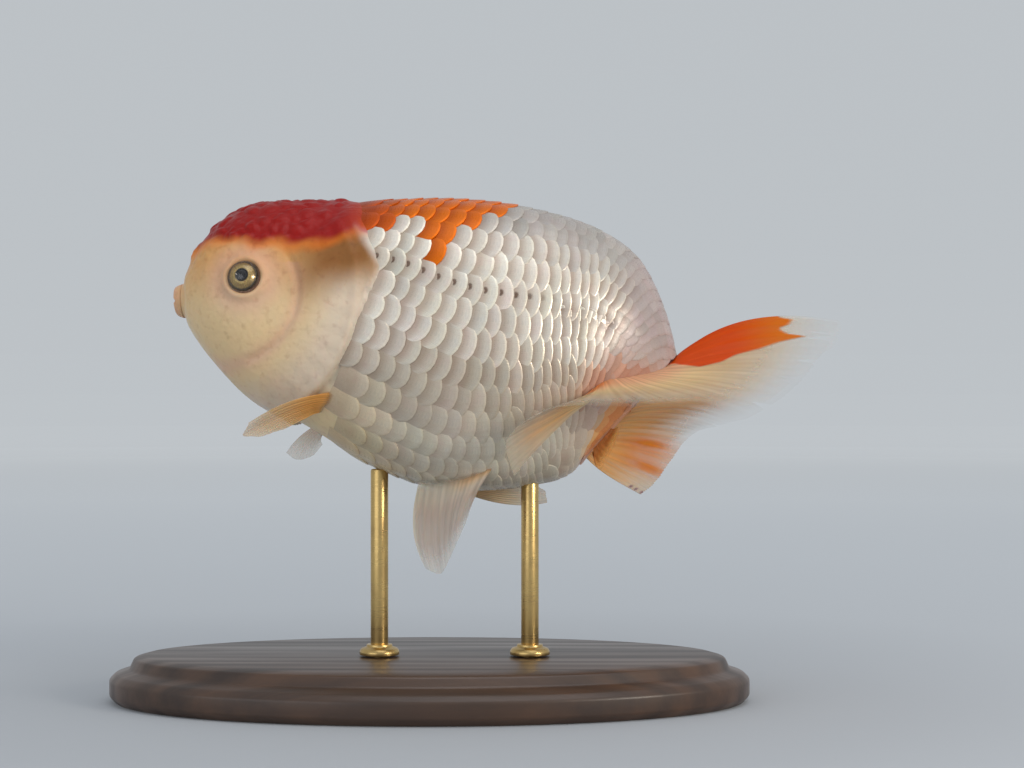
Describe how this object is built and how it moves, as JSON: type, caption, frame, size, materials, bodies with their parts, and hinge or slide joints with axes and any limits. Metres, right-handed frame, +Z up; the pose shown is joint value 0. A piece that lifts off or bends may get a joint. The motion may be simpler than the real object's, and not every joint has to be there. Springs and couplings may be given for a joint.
{
  "type": "ranchu goldfish",
  "caption": "Life-size ranchu goldfish with an egg-shaped body, no dorsal fin and a double tail, orange and pearl white, banked a little on a low oval display stand.",
  "frame": {"origin": "centre of the stand base's flat underside, where the part rests", "axes": "+Z up; the fish's head points to -Y and its tail to +Y; its left side faces +X, and its belly is banked 8 degrees towards +X"},
  "size_m": [0.062, 0.127, 0.0867],
  "materials": {
    "pearl_skin": "wet, pearly white scaled skin with faint pink and blue-grey tints and an orange saddle",
    "red_skin": "wet, soft red-orange skin of the head, bumpy on the crown",
    "eye": "gold iris and black pupil under a clear, wet surface",
    "fin": "thin cream membrane on fine branching rays, clear at the margins",
    "orange_fin": "thin membrane, solid orange near the root and clear at the tips",
    "stand_wood": "dark walnut, satin varnish",
    "stand_brass": "satin brass"
  },
  "bodies": {
    "root": {"head": "red_skin", "crown": "red_skin", "gill_cover_left": "pearl_skin", "gill_cover_right": "pearl_skin", "eye_left": "eye", "eye_right": "eye", "nostril_left": "red_skin", "nostril_right": "red_skin", "upper_lip": "red_skin", "lower_jaw": "pearl_skin", "trunk": "pearl_skin", "tail_stalk": "pearl_skin", "pectoral_fin_left": "fin", "pectoral_fin_right": "fin", "pelvic_fin_left": "fin", "pelvic_fin_right": "fin", "anal_fin_left": "fin", "anal_fin_right": "fin", "tail_lower_left": "fin", "tail_lower_right": "fin", "tail_upper_left": "orange_fin", "tail_upper_right": "orange_fin", "stand_base": "stand_wood", "stand_rod_front": "stand_brass", "stand_rod_rear": "stand_brass", "stand_collar_front": "stand_brass", "stand_collar_rear": "stand_brass"}
  },
  "joints": []
}
